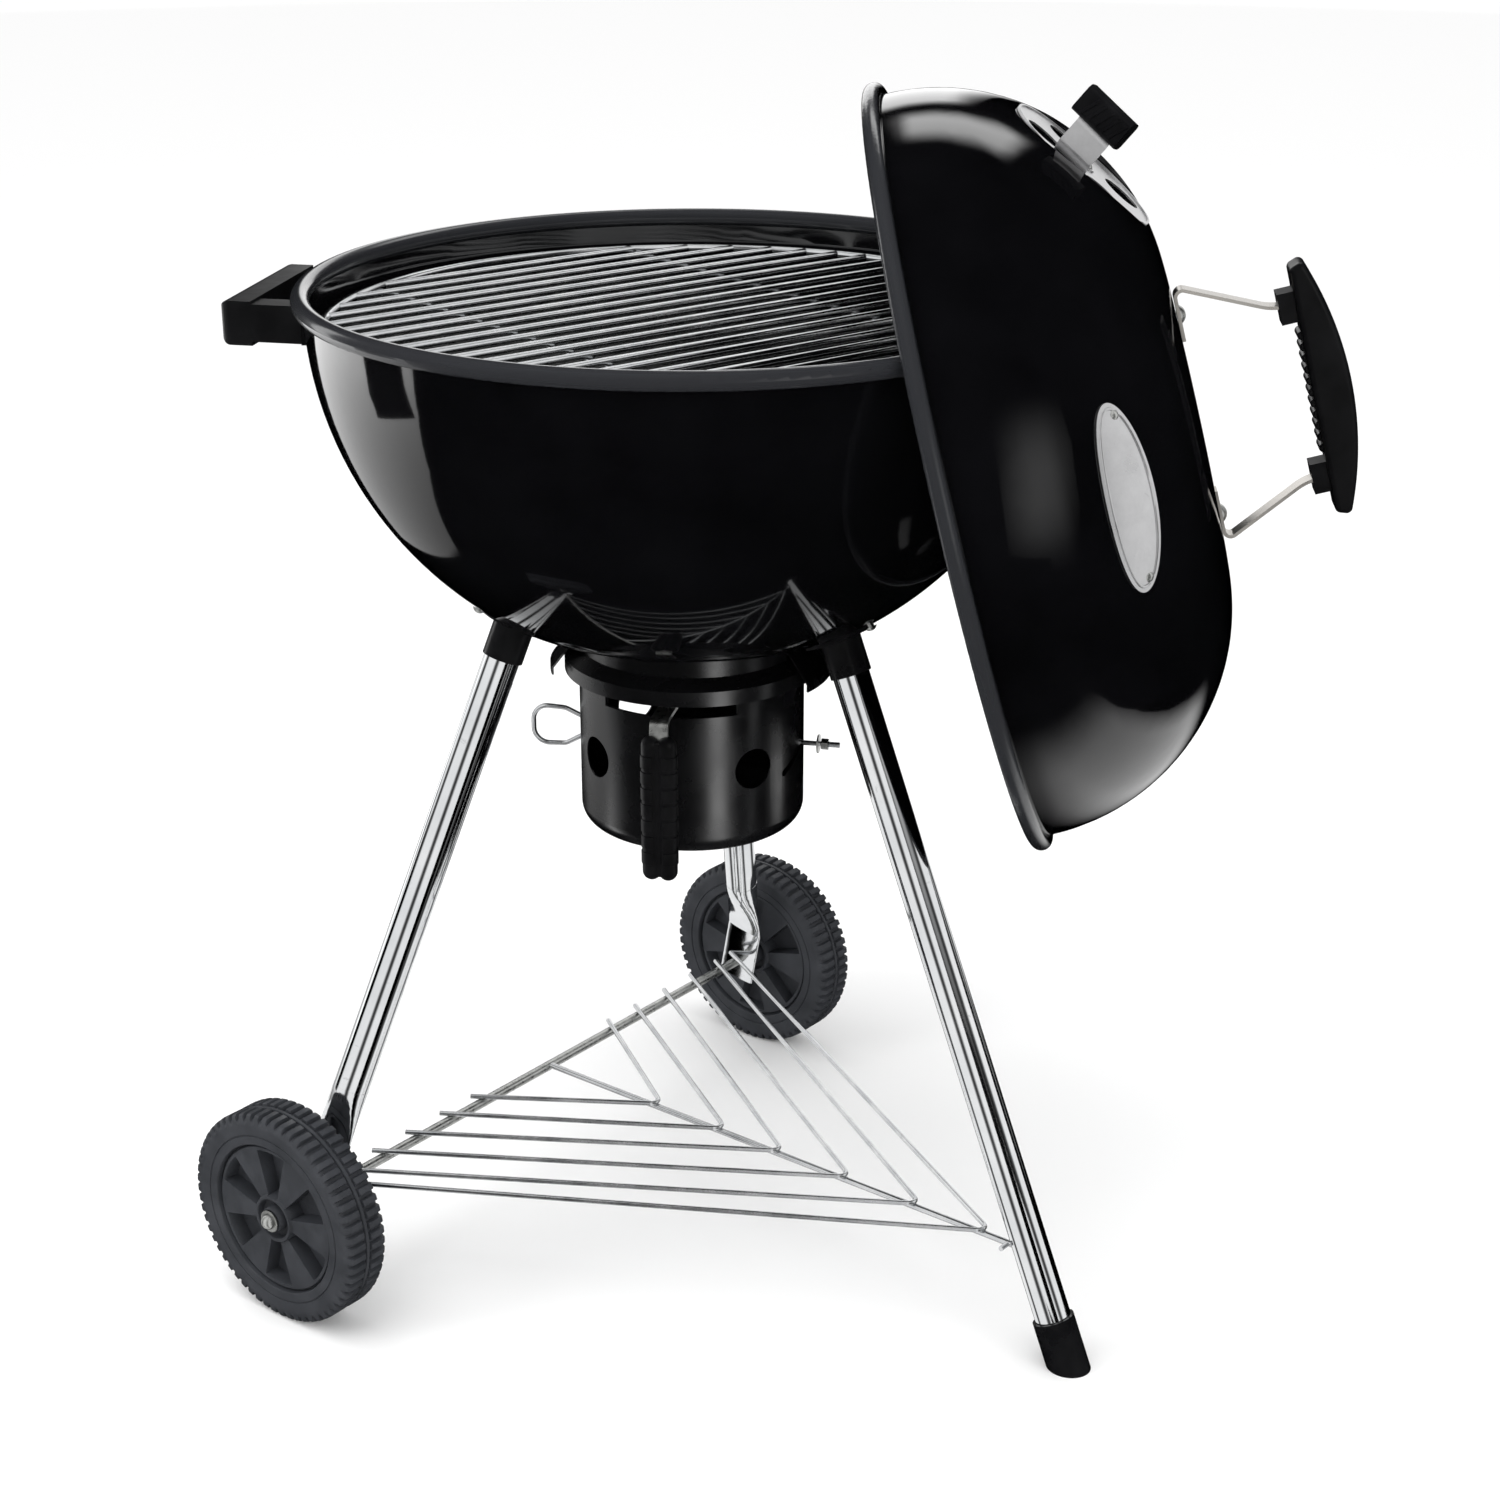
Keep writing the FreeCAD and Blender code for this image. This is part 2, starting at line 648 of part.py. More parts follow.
def lid_shell():
    seat, normal = vent_frame(VENT_SINK)
    outer = dome_solid(0).cut(rod(seat, seat + normal * 40, VENT_R + 3))
    deep = seat - normal * SHEET
    inner = dome_solid(SHEET).cut(rod(deep, deep + normal * 60, VENT_R + 3 + SHEET))
    half_r, half_z = LID_BEAD
    shell = outer.cut(inner).cut(Part.makeCylinder(LID_R, half_z))
    oval = Part.Ellipse(V(0, 0, 0), half_z, half_r).toShape()
    face = Part.Face(Part.Wire(oval))
    face.Placement = FreeCAD.Placement(V(LID_R - half_r, 0, half_z),
                                       FreeCAD.Rotation(V(0, 0, 1), V(1, 0, 0), V(0, -1, 0), "ZXY"))
    bead = face.revolve(V(0, 0, 0), UP, 360)
    shell = shell.fuse(bead)
    cutters = vent_holes(VENT_SINK - 5, VENT_SINK + 8)
    cutters.append(rod(seat + normal * 5, seat - normal * 8, VENT_PIN_R))
    cutters += [rod(V(x, 0, 170), V(x, 0, 195), 3) for x in (-77, 77)]
    return shell.cut(cutters)


def vent_disc():
    """Damper disc with four holes and a bent-up tab."""
    seat, normal = vent_frame(VENT_SINK - 0.35)
    tab, across = vent_directions()
    plate = rod(seat, seat + normal * 1.2, VENT_R)
    lip = rod(seat, seat + normal * 2.4, VENT_R).cut(rod(seat, seat + normal * 2.4, VENT_R - 1.6))
    boss = rod(seat, seat + normal * 2.6, 9)
    mid = seat + normal * 0.8
    foot = mid + tab * 45
    path = [mid + tab * 30, foot, foot + normal * 27, foot + tab * 7 + normal * 44]
    blade = strap(path, [9, 12], across, VENT_NECK, 1.2)
    body = fused([plate, lip, boss]).cut(vent_holes(VENT_SINK - 8, VENT_SINK + 8))
    body = body.fuse(blade)
    return body.cut(rod(seat - normal * 3, seat + normal * 9, VENT_PIN_R + BORE_GAP))


def vent_grip():
    seat, normal = vent_frame(VENT_SINK - 0.35)
    tab, across = vent_directions()
    centre = seat + tab * 49 + normal * 30
    block = Part.makeBox(17, 41, 22, V(-8.5, -20.5, 0))
    block = rounded(block, 4, lambda e: abs(e.BoundBox.YLength - 41) < 0.1)
    block.Placement = FreeCAD.Placement(centre, FreeCAD.Rotation(tab, across, normal, "ZXY"))
    return block.cut(vent_disc())


def vent_pin():
    seat, normal = vent_frame(VENT_SINK)
    shank = rod(seat - normal * (SHEET + 3), seat + normal * 3.3, VENT_PIN_R)
    head = dome_head(seat + normal * 3.3, normal, 7, 3.4)
    tail = rod(seat - normal * (SHEET + 3), seat - normal * SHEET, 6)
    return fused([shank, head, tail])


def badge_plate():
    point, normal = dome_point(BADGE_RHO, BADGE_AZ)
    outward = V(point.x, point.y, 0).normalize()
    around = UP.cross(outward).normalize()
    down = around.cross(normal)
    ring = Part.Ellipse(V(0, 0, 0), 65, 22).toShape()
    face = Part.Face(Part.Wire(ring))
    face.Placement = FreeCAD.Placement(point - normal * 30, FreeCAD.Rotation(around, down, normal, "ZXY"))
    tool = face.extrude(normal * 60)
    return dome_solid(-1.5).cut(dome_solid(-0.05)).common(tool).cut(badge_rivets())


def badge_rivets():
    out = []
    for step in (-13.6, 13.6):
        spot, square = dome_point(BADGE_RHO, BADGE_AZ + step)
        shank = rod(spot + square * 0.1, spot + square * 1.3, 2)
        out.append(shank.fuse(dome_head(spot + square * 1.3, square, 3.6, 1.8)))
    return Part.makeCompound(out)


def handle_strap(side):
    foot = STRAP_FOOT_Z
    path = [V(side * 58, 0, foot), V(side * 98, 0, foot), V(side * 67, 0, 250), V(side * 65, 0, 268)]
    body = strap(path, [5, 40], V(0, 1, 0), 15, 2.5)
    return body.cut(rod(V(side * 77, 0, 170), V(side * 77, 0, 195), 3))


def handle_grip():
    """Bow grip with a socket block for each strap."""
    half = 97.0
    ends = [V(half, -14, 279), V(0, -14, 297), V(-half, -14, 279)]
    low = [V(-half + 4, -14, 268), V(half - 4, -14, 268)]
    outline = [Part.Arc(*ends).toShape(), line(ends[2], low[0])]
    outline += [line(low[0], low[1]), line(low[1], ends[0])]
    bow = Part.Face(Part.Wire(outline)).extrude(V(0, 28, 0))
    bow = rounded(bow, 4.5, lambda e: e.BoundBox.YLength > 27 and abs(e.CenterOfMass.y) < 0.1)
    bow = rounded(bow, 4, lambda e: e.BoundBox.YLength < 0.1)
    blocks = [box((x - 11.5, -10, 256), (x + 11.5, 10, 275)) for x in (-65, 65)]
    return fused([bow] + blocks).cut([handle_strap(-1), handle_strap(1)])


def handle_lid_screws():
    out = []
    top = STRAP_FOOT_Z + 1.25
    for x in (-77, 77):
        shank = rod(V(x, 0, 177.8), V(x, 0, top), 3)
        out.append(shank.fuse(dome_head(V(x, 0, top), UP, 7, 4)))
    return Part.makeCompound(out)


def handle_lid_nuts():
    out = []
    inner = LID_HEIGHT - SHEET - 0.1 - 83 ** 2 / (2 * LID_CROWN_R)
    for x in (-77, 77):
        out.append(hexagon(V(x, 0, inner), V(0, 0, -1), 10, 4).cut(rod(V(x, 0, 160), V(x, 0, 190), 3)))
    return Part.makeCompound(out)


def lid_hook():
    """Strip welded inside the dome that hangs the lid on the handle, in room coordinates."""
    level = polar(1, LID_AZ)
    side = UP.cross(level)
    origin = V(LID_CENTRE.x, LID_CENTRE.y, 0) - side * 14
    rest = HANDLE_HIGH + 1.8
    points = [(132.5, 829.6), (146.6, 789), (142.0, rest), (116.0, rest), (105.5, 763)]
    path = [origin + level * x + UP * z for x, z in points]
    body = strap(path, [12, 5, 5], side, 22, 2.5)
    return body.cut(hung(dome_solid(-5).cut(dome_solid(SHEET))))


# ---- assembly ----
def build():
    nodes = {}
    left, *left_line = wheel_leg(-1)
    rear, *rear_line = wheel_leg(1)
    lines = {"foot": leg_line(FOOT_AZ, FOOT_SLOPE), "left": left_line, "rear": rear_line}
    screws = Part.makeCompound([pad_screw(az) for az in (FOOT_AZ,) + WHEEL_LEG_AZ])
    nodes["bowl"] = bowl_part().cut(screws)
    for name, (top, down) in lines.items():
        nodes[name + "_leg_socket"] = socket_part(top, down).cut(screws)
    nodes["socket_screws"] = screws
    nodes["rack"] = rack_part()
    nodes["foot_leg"] = foot_leg().cut(nodes["rack"])
    nodes["left_wheel_leg"] = left
    nodes["rear_wheel_leg"] = rear
    nodes["foot_cap"] = foot_cap()
    nodes["axle"] = axle_part()
    nodes["left_wheel"] = wheel_part(-1)
    nodes["rear_wheel"] = wheel_part(1)
    nodes["axle_spacers"] = both_sides(LEG_ON_AXLE + 2.8, WHEEL_IN - 0.5, 8)
    nodes["axle_washers"] = both_sides(WHEEL_OUT + 0.5, WHEEL_OUT + 1.7, 9)
    nodes["axle_end_nuts"] = end_nuts()
    nodes["collar"] = collar_part()
    nodes["ash_can"] = ash_can()
    nodes["cross_rod"] = cross_rod()
    nodes["cross_rod_washer"] = on_cross_rod(99.5, 1.2, 7.5)
    nodes["cross_rod_nut"] = cross_rod_nut()
    nodes["sweeper_blades"] = sweeper_blades()
    nodes["sweeper_shaft"] = sweeper_shaft()
    nodes["sweeper_lever"] = sweeper_lever()
    nodes["sweeper_grip"] = lever_grip()
    nodes["charcoal_grate"] = round_grate(COAL_R, COAL_Z, 3.0, 24.0, -30, 3.5)
    nodes["cooking_grate"] = round_grate(GRATE_R, GRATE_Z, GRATE_WIRE, GRATE_PITCH, GRATE_TURN, 3.5)
    nodes["charcoal_grate_tabs"] = grate_tabs(198, COAL_Z - 5.1 - 3.4, 16)
    nodes["cooking_grate_tabs"] = grate_tabs(262, GRATE_Z - 5.1 - 3.4, 18)
    for name, side in (("left", -1), ("right", 1)):
        nodes[name + "_bowl_handle"] = bowl_handle(side)
        nodes[name + "_handle_bracket"] = bracket_part(side).cut(handle_screws(side))
        nodes[name + "_handle_screws"] = handle_screws(side)
    nodes["lid"] = hung(lid_shell())
    nodes["lid_hook"] = lid_hook()
    nodes["damper_disc"] = hung(vent_disc())
    nodes["damper_grip"] = hung(vent_grip())
    nodes["damper_rivet"] = hung(vent_pin())
    nodes["badge_plate"] = hung(badge_plate())
    nodes["badge_rivets"] = hung(badge_rivets())
    nodes["upper_handle_strap"] = hung(handle_strap(-1))
    nodes["lower_handle_strap"] = hung(handle_strap(1))
    nodes["lid_handle_grip"] = hung(handle_grip())
    nodes["lid_handle_screws"] = hung(handle_lid_screws())
    nodes["lid_handle_nuts"] = hung(handle_lid_nuts())
    return nodes


def main():
    os.makedirs("parts", exist_ok=True)
    for name, shape in build().items():
        if not shape.isValid():
            print("not valid:", name)
        shape.exportStep("parts/" + name + ".step")
        print(name, len(shape.Solids), round(shape.Volume / 1000, 1), "cm3")


main()
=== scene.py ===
"""Finishes, moulded detail, studio and camera for the kettle charcoal grill."""

import json
from math import cos, pi, radians, sin

import bmesh
import bpy
from mathutils import Matrix, Vector
from mathutils.bvhtree import BVHTree


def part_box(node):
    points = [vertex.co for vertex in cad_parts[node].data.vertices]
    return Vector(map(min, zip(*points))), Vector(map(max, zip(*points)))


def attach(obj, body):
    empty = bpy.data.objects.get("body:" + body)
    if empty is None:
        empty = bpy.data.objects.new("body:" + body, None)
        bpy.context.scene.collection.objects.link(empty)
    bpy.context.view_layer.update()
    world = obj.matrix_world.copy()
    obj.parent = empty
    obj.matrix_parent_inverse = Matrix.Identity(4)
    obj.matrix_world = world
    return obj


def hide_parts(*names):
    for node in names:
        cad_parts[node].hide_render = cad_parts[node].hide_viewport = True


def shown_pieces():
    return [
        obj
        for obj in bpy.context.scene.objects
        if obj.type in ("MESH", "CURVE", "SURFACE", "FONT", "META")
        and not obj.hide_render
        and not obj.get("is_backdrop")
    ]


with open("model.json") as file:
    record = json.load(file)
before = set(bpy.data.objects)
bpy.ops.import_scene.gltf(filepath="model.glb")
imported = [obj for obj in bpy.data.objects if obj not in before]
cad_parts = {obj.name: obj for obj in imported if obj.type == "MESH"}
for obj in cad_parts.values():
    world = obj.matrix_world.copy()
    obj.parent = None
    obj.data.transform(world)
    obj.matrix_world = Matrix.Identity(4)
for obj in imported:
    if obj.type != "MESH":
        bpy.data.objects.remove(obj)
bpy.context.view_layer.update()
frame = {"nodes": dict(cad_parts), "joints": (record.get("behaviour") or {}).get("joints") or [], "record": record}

MM = 0.001
UP = Vector((0, 0, 1))
joints = {joint["name"]: joint for joint in frame["joints"]}


# ---- materials ----
def linear(hex_colour):
    """sRGB hex to linear RGBA."""
    parts = [int(hex_colour[k:k + 2], 16) / 255 for k in (1, 3, 5)]
    return tuple(c / 12.92 if c <= 0.04045 else ((c + 0.055) / 1.055) ** 2.4 for c in parts) + (1.0,)


def add(tree, kind, sockets=None, **settings):
    """Adds a node with its settings; a socket is given a value or another node's output."""
    made = tree.nodes.new("ShaderNode" + kind)
    for name, value in settings.items():
        setattr(made, name, value)
    for name, value in (sockets or {}).items():
        if isinstance(value, bpy.types.NodeSocket):
            tree.links.new(value, made.inputs[name])
        else:
            made.inputs[name].default_value = value
    return made


EDGE_FADE = 1.5                 # mm over which a rim's band begins


def finish(name, tones, roughness, patch_mm, grain_mm, grain_height_mm,
           stretch=(1, 1, 1), scuffs=None, edge=None, **shell):
    """A surface whose tone and gloss drift over patches, with a fine grain standing on its skin.

    stretch pulls the grain out along an axis, as brushing or drawing does. scuffs is (tone, spacing in mm)
    for rubbed marks. edge is (point, direction, depth in mm, tone, roughness) for a band along a rim; its tone is
    painted sheen, a lighter grey that stands in for the rim's reflections, and its roughness is the rim's own.
    """
    material = bpy.data.materials.new(name)
    material.use_nodes = True
    tree = material.node_tree
    shader = tree.nodes["Principled BSDF"]
    for socket, value in shell.items():
        shader.inputs[socket.replace("_", " ")].default_value = value
    place = add(tree, "TexCoord").outputs["Object"]
    patch = add(tree, "TexNoise", {"Vector": place, "Scale": 1 / (patch_mm * MM), "Detail": 4.0,
                                   "Roughness": 0.6})
    spread = add(tree, "MapRange", {"Value": patch.outputs["Fac"], "From Min": 0.3, "From Max": 0.7})
    tone = {0: spread.outputs["Result"], 6: linear(tones[0]), 7: linear(tones[1])}
    colour = add(tree, "Mix", tone, data_type="RGBA").outputs[2]
    low, high = roughness
    gloss = add(tree, "MapRange", {"Value": patch.outputs["Fac"], "From Min": 0.3, "From Max": 0.7,
                                   "To Min": low, "To Max": high}).outputs["Result"]
    pulled = add(tree, "Mapping", {"Vector": place, "Scale": stretch}).outputs["Vector"]
    grain = add(tree, "TexNoise", {"Vector": pulled, "Scale": 1 / (grain_mm * MM), "Detail": 2.0})
    if scuffs:
        scuff_tone, spacing = scuffs
        marks = add(tree, "TexNoise", {"Vector": place, "Scale": 1 / (spacing * MM), "Detail": 8.0,
                                       "Roughness": 0.75, "Distortion": 1.2})
        worn = add(tree, "MapRange", {"Value": marks.outputs["Fac"], "From Min": 0.62, "From Max": 0.72,
                                      "To Max": 0.5}).outputs["Result"]
        colour = add(tree, "Mix", {0: worn, 6: colour, 7: linear(scuff_tone)}, data_type="RGBA").outputs[2]
    if edge:
        point, direction, depth, painted_sheen_tone, edge_rough = edge
        reach = add(tree, "VectorMath", {0: place, 1: point}, operation="SUBTRACT")
        height = {0: reach.outputs["Vector"], 1: direction}
        along = add(tree, "VectorMath", height, operation="DOT_PRODUCT").outputs["Value"]
        band = add(tree, "MapRange", {"Value": along, "From Min": -depth * MM,
                                      "From Max": (EDGE_FADE - depth) * MM})
        # Painted sheen: the rim's band is mixed to a lighter grey that stands in for the rim's reflections.
        rim = {0: band.outputs["Result"], 6: colour, 7: linear(painted_sheen_tone)}
        colour = add(tree, "Mix", rim, data_type="RGBA").outputs[2]
        gloss = add(tree, "MapRange", {"Value": band.outputs["Result"], "To Min": gloss,
                                       "To Max": edge_rough}).outputs["Result"]
    bump = add(tree, "Bump", {"Height": grain.outputs["Fac"], "Distance": grain_height_mm * MM,
                              "Strength": 0.6})
    tree.links.new(colour, shader.inputs["Base Color"])
    tree.links.new(gloss, shader.inputs["Roughness"])
    tree.links.new(bump.outputs["Normal"], shader.inputs["Normal"])
    return material


# The hung lid's own frame: its mouth's middle, and where its dome and its upper edge point.
LID_TURN, LID_LEAN = radians(7.35), radians(14.69)
LID_MOUTH = Vector((0.196, 0.025, 0.6447))
LID_OUT = Vector((cos(LID_LEAN) * cos(LID_TURN), cos(LID_LEAN) * sin(LID_TURN), sin(LID_LEAN)))
LID_UP = Vector((-sin(LID_LEAN) * cos(LID_TURN), -sin(LID_LEAN) * sin(LID_TURN), cos(LID_LEAN)))
LID_FRONT = LID_OUT.cross(LID_UP)
RIM_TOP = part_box("bowl")[1].z

# Porcelain enamel, fired on at about 800 C: deep black glass with faint orange peel 3 mm across. The grey band
# along the rims of bowl and lid is painted sheen, a lighter tone that stands in for the rims' reflections.
bowl_enamel = finish("black_porcelain_enamel_bowl", ("#050506", "#0A0A0C"), (0.045, 0.085), 90, 3.0, 0.012,
                     edge=(Vector((0, 0, RIM_TOP)), UP, 14, "#2A2B2E", 0.24), IOR=1.52, Coat_Weight=0.5,
                     Coat_Roughness=0.03)
lid_enamel = finish("black_porcelain_enamel_lid", ("#050506", "#0A0A0C"), (0.045, 0.085), 90, 3.0, 0.012,
                    edge=(LID_MOUTH, -LID_OUT, 13, "#2A2B2E", 0.24), IOR=1.52, Coat_Weight=0.5,
                    Coat_Roughness=0.03)
# Stove paint baked on pressed steel: satin black, specks of 1 mm, edges rubbed a little grey.
stove_paint = finish("baked_satin_stove_paint", ("#0B0B0C", "#131315"), (0.2, 0.32), 45, 1.0, 0.01,
                     scuffs=("#2A2A2C", 60), IOR=1.5)
# Chrome plate over drawn tube: mirror bright, with drawing lines pulled out along the tube.
tube_chrome = finish("chrome_plated_tube", ("#C9CBCD", "#DDDEDF"), (0.05, 0.13), 70, 1.2, 0.004,
                     stretch=(1, 1, 0.04), scuffs=("#8E8F90", 35), Metallic=1.0)
# Chrome plate over welded wire: a little duller, and cloudy near the welds.
wire_chrome = finish("chrome_plated_wire", ("#B4B6B8", "#D2D3D4"), (0.12, 0.24), 30, 1.5, 0.006,
                     scuffs=("#77787A", 18), Metallic=1.0)
# Zinc plate: greyer than chrome, with a soft crystalline bloom.
zinc = finish("bright_zinc_plate", ("#9C9D9B", "#C2C3C0"), (0.22, 0.38), 8, 0.8, 0.006,
              scuffs=("#6E6E6C", 9), Metallic=1.0)
# Stainless strip, brushed along its length: warm grey with fine lines.
stainless = finish("brushed_stainless_strip", ("#A8A49E", "#C0BCB6"), (0.22, 0.34), 25, 0.7, 0.01,
                   stretch=(0.08, 1, 0.08), scuffs=("#7F7B76", 30), Metallic=1.0)
# Aluminium sheet, stamped and tumbled: pale satin with a pebbled skin.
aluminium = finish("stamped_satin_aluminium", ("#B2B2B3", "#CACACB"), (0.26, 0.4), 18, 0.9, 0.015,
                   scuffs=("#8B8B8C", 14), Metallic=1.0)
# Phenolic handle moulding: near black, semi matt, with a spark-eroded grain of 0.9 mm.
phenolic = finish("black_phenolic_moulding", ("#0C0C0E", "#151518"), (0.34, 0.5), 30, 0.9, 0.05,
                  scuffs=("#242427", 25), IOR=1.6)
# Painted steel sockets and the foot's nylon: smooth satin black.
nylon = finish("black_nylon_satin", ("#0D0D0F", "#18181A"), (0.22, 0.36), 25, 1.2, 0.015,
               scuffs=("#2B2B2D", 40), IOR=1.53)
# Polypropylene wheels: charcoal grey, slightly blue, dull with mould texture and dusty scuffs.
polypropylene = finish("charcoal_polypropylene_moulding", ("#34363A", "#404247"), (0.4, 0.55), 22, 0.8, 0.05,
                       scuffs=("#45464A", 12), IOR=1.49)

finishes = {
    "black_enamel": bowl_enamel,
    "black_coated_steel": stove_paint,
    "chrome_tube": tube_chrome,
    "chrome_wire": wire_chrome,
    "zinc_steel": zinc,
    "stainless_strap": stainless,
    "aluminium": aluminium,
    "black_plastic": phenolic,
    "wheel_plastic": polypropylene,
}
special = {
    "lid": lid_enamel,
    "foot_cap": nylon,
    "foot_leg_socket": nylon,
    "left_leg_socket": nylon,
    "rear_leg_socket": nylon,
}
for part in frame["record"]["subparts"]:
    piece = frame["nodes"][part["node"]]
    piece.data.materials.clear()
    piece.data.materials.append(special.get(part["node"], finishes[part["material_slot"]]))


# ---- mesh helpers ----
def new_piece(name, points, faces, body, slot, place=None, round_off=None):
    """Makes a piece from points in millimetres in the frame given by place, and sets it on its body."""
    mesh = bpy.data.meshes.new(name)
    mesh.from_pydata([tuple(Vector(p) * MM) for p in points], [], faces)
    shape = bmesh.new()
    shape.from_mesh(mesh)
    bmesh.ops.recalc_face_normals(shape, faces=shape.faces)
    shape.to_mesh(mesh)
    shape.free()
    if place:
        mesh.transform(place)
    for polygon in mesh.polygons:
        polygon.use_smooth = True
    mesh.set_sharp_from_angle(angle=radians(32))
    piece = bpy.data.objects.new(name, mesh)
    bpy.context.scene.collection.objects.link(piece)
    mesh.materials.append(finishes[slot])
    if round_off:
        bevel = piece.modifiers.new("rounded_edges", "BEVEL")
        bevel.width = round_off * MM
        bevel.segments = 3
        bevel.limit_method = "ANGLE"
        bevel.angle_limit = radians(40)
    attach(piece, body)
    return piece


def skin(rings, loop=False):
    """Faces between closed rings of equal length; the ends are capped unless the rings make a loop."""
    count = len(rings[0])
    points = [p for ring in rings for p in ring]
    faces = []
    pairs = len(rings) if loop else len(rings) - 1
    for r in range(pairs):
        a, b = r * count, (r + 1) % len(rings) * count
        for k in range(count):
            n = (k + 1) % count
            faces.append((a + k, a + n, b + n, b + k))
    if not loop:
        faces.append(tuple(range(count))[::-1])
        faces.append(tuple(range(len(points) - count, len(points))))
    return points, faces


def gathered(parts):
    """One list of points and faces from several."""
    points, faces = [], []
    for some_points, some_faces in parts:
        start = len(points)
        points += some_points
        faces += [tuple(start + k for k in face) for face in some_faces]
    return points, faces


def frame_at(origin, x_way, y_way, z_way):
    return Matrix.Translation(origin) @ Matrix((x_way, y_way, z_way)).transposed().to_4x4()


# ---- wheels ----
TREAD_LUGS = 60
STEPS_PER_LUG = 10
LUG_SHARE = 6                   # of those steps, how many stand up
WHEEL_WIDTH = 40.0
POCKETS = 6
# Side of the wheel from hub to shoulder: radius, depth below the side's plane, depth inside a pocket.
OUTER_SIDE = (
    (4.2, 0.2, 0.2), (9.4, 0.2, 0.2), (10.0, 1.0, 1.0), (10.6, 8.0, 8.0), (15.6, 8.0, 8.0), (16.4, 2.4, 2.4),
    (17.0, 1.8, 1.8), (18.8, 1.8, 1.8), (19.4, 2.6, 3.4), (20.2, 4.0, 16.5), (55.8, 4.0, 16.5), (56.6, 4.0, 5.0),
    (57.2, 4.0, 4.0), (59.4, 4.0, 4.0), (59.9, 4.6, 4.6), (60.3, 7.0, 7.0), (61.6, 7.0, 7.0), (62.0, 2.2, 2.2),
    (62.7, 1.4, 1.4), (69.0, 1.2, 1.2), (69.4, 1.9, 1.9), (70.1, 1.9, 1.9), (70.5, 1.1, 1.1), (77.0, 0.6, 0.6),
)
# Half of the tread from shoulder to middle: height on the width, radius between lugs, radius on a lug.
HALF_TREAD = (
    (39.5, 79.4, 79.4), (39.1, 80.4, 81.0), (38.6, 81.6, 84.0), (37.6, 82.6, 86.0), (36.0, 83.4, 87.0),
    (34.0, 83.9, 87.3), (24.0, 84.2, 87.3), (23.3, 84.2, 86.9), (22.9, 84.2, 84.6), (21.7, 84.2, 84.2),
    (21.4, 86.0, 86.0), (20.9, 86.5, 86.5),
)


def wheel_slice(step, steps):
    """Closed section of the wheel at one step round it, as (radius, height on the width) pairs."""
    turn_in_pocket = step * POCKETS / steps % 1
    pocket = 0.25 < turn_in_pocket < 0.75
    section = [(r, WHEEL_WIDTH - (deep if pocket else d)) for r, d, deep in OUTER_SIDE]
    for row, stations in ((0, HALF_TREAD), (1, HALF_TREAD[::-1])):
        lug = (step + row * STEPS_PER_LUG // 2) % STEPS_PER_LUG < LUG_SHARE
        for height, low, high in stations:
            section.append((high if lug else low, height if row == 0 else WHEEL_WIDTH - height))
    section += [(r, deep if pocket else d) for r, d, deep in OUTER_SIDE[::-1]]
    return section


def wheel(name):
    """Moulded wheel with staggered tread lugs, a middle rib, wedge spokes and a cupped hub."""
    joint = joints[name + "_spin"]
    middle = Vector(joint["pos_m"])
    out = Vector(joint["axis"])
    if out.dot(middle - Vector(joints["sweeper_turn"]["pos_m"])) < 0:
        out.negate()
    side = out.cross(UP).normalized()
    place = frame_at(middle - out * (WHEEL_WIDTH / 2 * MM), side, out.cross(side), out)
    steps = TREAD_LUGS * STEPS_PER_LUG
    rings = []
    for step in range(steps):
        a = 2 * pi * step / steps
        rings.append([(r * cos(a), r * sin(a), z) for r, z in wheel_slice(step, steps)])
    made = new_piece(name + "_moulding", *skin(rings, loop=True), name, "wheel_plastic", place)
    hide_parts(name)


for wheel_name in ("left_wheel", "rear_wheel"):
    wheel(wheel_name)

# ---- lid handle, damper and badge detail ----
lid_place = frame_at(LID_MOUTH, LID_UP, LID_FRONT, LID_OUT)


def bar(x0, x1, y0, y1, z0, z1, lean=0):
    """A straight bar whose top is moved along X by lean."""
    low = [(x0, y0, z0), (x1, y0, z0), (x1, y1, z0), (x0, y1, z0)]
    high = [(x + lean, y, z1) for x, y, _ in low]
    return skin([low, high])


def half_round(x, z, r, half_y, steps=10):
    """A rib across the grip: half a round bar with its flat side sunk in the grip."""
    outline = [(x + r * cos(pi * k / steps), z - r * sin(pi * k / steps)) for k in range(steps + 1)]
    outline += [(x - r, z + 1.5), (x + r, z + 1.5)]
    rings = []
    for y, shrink in ((-half_y, 0.6), (-half_y + 1.4, 1), (half_y - 1.4, 1), (half_y, 0.6)):
        rings.append([(x + (px - x) * shrink, y, z + (pz - z) * shrink) for px, pz in outline])
    return skin(rings)


GRIP_RIBS = 11
RIB_PITCH = 8.6
RIB_SEAT, RIB_R, RIB_HALF = 268.2, 3.3, 10.5
starts = [(k - (GRIP_RIBS - 1) / 2) * RIB_PITCH for k in range(GRIP_RIBS)]
ribs = [half_round(start, RIB_SEAT, RIB_R, RIB_HALF) for start in starts]
new_piece("lid_grip_ribs", *gathered(ribs), "lid", "black_plastic", lid_place)

damper_seat = Vector(joints["damper_turn"]["pos_m"])
damper_out = Vector(joints["damper_turn"]["axis"]).normalized()
grip_low, grip_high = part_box("damper_grip")
grip_way = (grip_low + grip_high) / 2 - damper_seat
tab_way = (grip_way - damper_out * grip_way.dot(damper_out)).normalized()
damper_place = frame_at(damper_seat, damper_out.cross(tab_way), -tab_way, damper_out)

